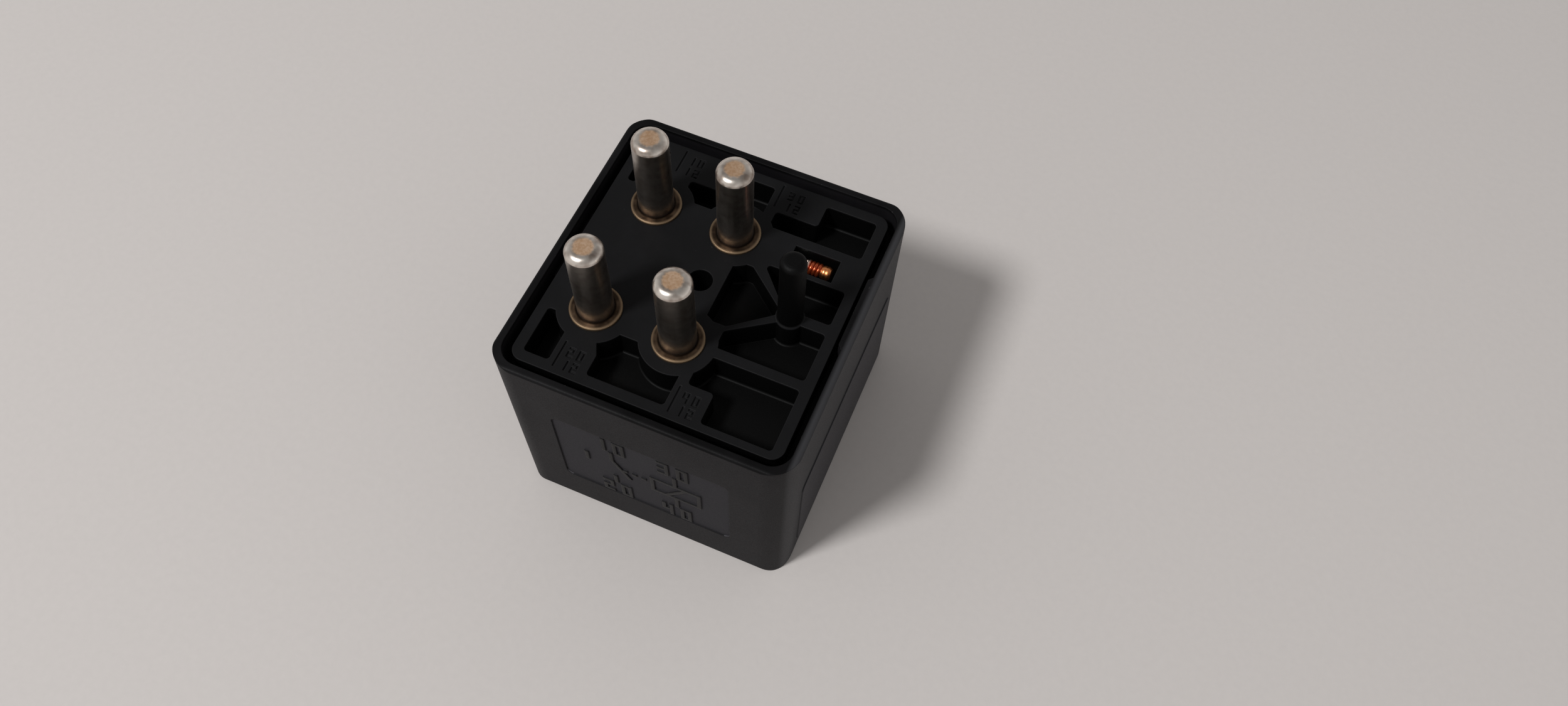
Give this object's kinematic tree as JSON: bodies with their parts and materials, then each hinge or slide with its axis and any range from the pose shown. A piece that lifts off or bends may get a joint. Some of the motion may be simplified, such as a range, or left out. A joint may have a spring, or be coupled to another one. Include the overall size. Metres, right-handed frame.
{
  "type": "automotive relay",
  "caption": "Plug-in automotive relay with round contact pins, a keying pin, a black housing and a hinged armature that closes one contact.",
  "frame": {"origin": "middle of the bottom face, which is the housing's closed end", "axes": "+Z along the contact pins, away from the closed end; -Y is the front with the symbol field; +X is the right side, nearest the keying pin"},
  "size_m": [0.0301, 0.0314, 0.0352],
  "materials": {
    "housing_plastic": "satin moulded black, semi-matt field",
    "base_plastic": "satin moulded black",
    "pin_silver": "silver plated, lightly tarnished",
    "strap_brass": "bare rolled strip",
    "tinned_strip": "tin plated",
    "iron": "zinc plated soft iron",
    "bobbin_plastic": "moulded natural nylon",
    "enamelled_copper": "red enamelled copper wire",
    "bare_copper": "bright copper",
    "contact_silver": "silver alloy",
    "spring_steel": "plain spring wire"
  },
  "bodies": {
    "relay": {"housing": "housing_plastic", "base": "base_plastic", "common_pin": "pin_silver", "output_pin": "pin_silver", "coil_pin_a": "pin_silver", "coil_pin_b": "pin_silver", "common_strap": "strap_brass", "output_strap": "strap_brass", "coil_strap_a": "tinned_strip", "coil_strap_b": "tinned_strip", "yoke": "iron", "core": "iron", "bobbin": "bobbin_plastic", "winding": "enamelled_copper", "coil_lead_a": "enamelled_copper", "coil_lead_b": "enamelled_copper", "lead_joint": "bare_copper", "fixed_contact": "contact_silver", "back_stop": "strap_brass", "return_spring": "spring_steel", "braid": "bare_copper"},
    "armature_assembly": {"armature": "iron", "contact_blade": "strap_brass", "blade_rivets": "spring_steel", "moving_contact": "contact_silver"}
  },
  "joints": [
    {"name": "armature_hinge", "type": "hinge", "parent": "relay", "child": "armature_assembly", "pos_m": [0.0113, 0, 0.0049], "axis": [0, 1, 0], "range_deg": [0, 2.5], "stiffness_Nm_per_rad": 0.02, "springref_deg": -5.73, "deforming": ["return_spring", "braid"]}
  ]
}
